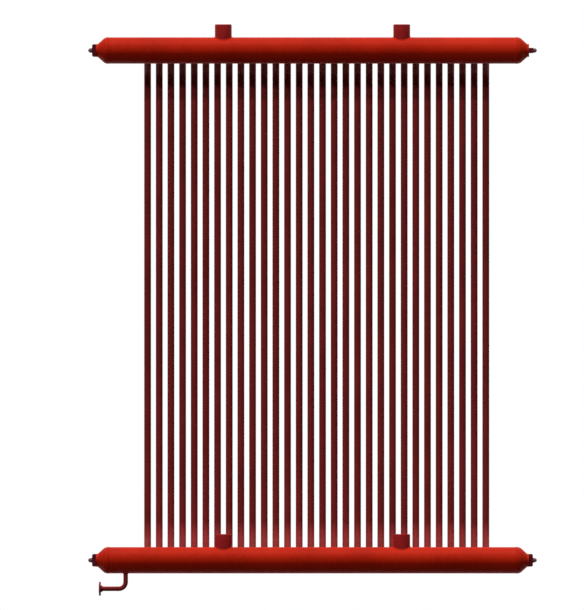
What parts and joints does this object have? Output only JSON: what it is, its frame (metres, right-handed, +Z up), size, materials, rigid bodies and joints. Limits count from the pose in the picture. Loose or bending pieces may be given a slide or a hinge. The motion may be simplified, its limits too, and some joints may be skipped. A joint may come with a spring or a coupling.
{
  "type": "boiler tube panel",
  "caption": "Flat panel of upright boiler tubes bent into an upper and a lower header pipe, with stub nozzles, bolted hand-hole ends and a flanged drain.",
  "frame": {"origin": "centre of the mouth of the upper left nozzle, which holds the panel", "axes": "+Z up along the tubes, +X to the right along the headers, +Y to the rear, from the headers to the tube plane"},
  "size_m": [3.73, 0.5397, 4.7525],
  "materials": {
    "red_paint": "satin red oxide paint",
    "tube_paint": "darker satin red oxide paint",
    "weld_paint": "satin red oxide paint over rippled weld metal",
    "dark_steel": "dark, nearly black steel",
    "fastener_steel": "dark oiled steel",
    "gasket": "dark graphite sheet"
  },
  "bodies": {
    "root": {"upper_header": "red_paint", "lower_header": "red_paint", "upper_left_end": "red_paint", "upper_left_nozzle": "red_paint", "upper_right_end": "red_paint", "upper_right_nozzle": "red_paint", "lower_left_end": "red_paint", "lower_left_nozzle": "red_paint", "lower_right_end": "red_paint", "lower_right_nozzle": "red_paint", "tube_01": "tube_paint", "tube_02": "tube_paint", "tube_03": "tube_paint", "tube_04": "tube_paint", "tube_05": "tube_paint", "tube_06": "tube_paint", "tube_07": "tube_paint", "tube_08": "tube_paint", "tube_09": "tube_paint", "tube_10": "tube_paint", "tube_11": "tube_paint", "tube_12": "tube_paint", "tube_13": "tube_paint", "tube_14": "tube_paint", "tube_15": "tube_paint", "tube_16": "tube_paint", "tube_17": "tube_paint", "tube_18": "tube_paint", "tube_19": "tube_paint", "tube_20": "tube_paint", "tube_21": "tube_paint", "tube_22": "tube_paint", "tube_23": "tube_paint", "tube_24": "tube_paint", "tube_25": "tube_paint", "tube_26": "tube_paint", "tube_27": "tube_paint", "tube_28": "tube_paint", "tube_29": "tube_paint", "tube_30": "tube_paint", "drain_stub": "tube_paint", "drain_elbow": "tube_paint", "drain_pipe": "tube_paint", "drain_flange": "tube_paint", "upper_tube_welds": "weld_paint", "lower_tube_welds": "weld_paint", "nozzle_welds": "weld_paint", "seam_welds": "weld_paint", "drain_welds": "weld_paint", "upper_left_cover": "dark_steel", "upper_right_cover": "dark_steel", "lower_left_cover": "dark_steel", "lower_right_cover": "dark_steel", "upper_left_yoke": "dark_steel", "upper_right_yoke": "dark_steel", "lower_left_yoke": "dark_steel", "lower_right_yoke": "dark_steel", "handhole_washers": "fastener_steel", "handhole_nuts": "fastener_steel", "handhole_gaskets": "gasket"}
  },
  "joints": []
}
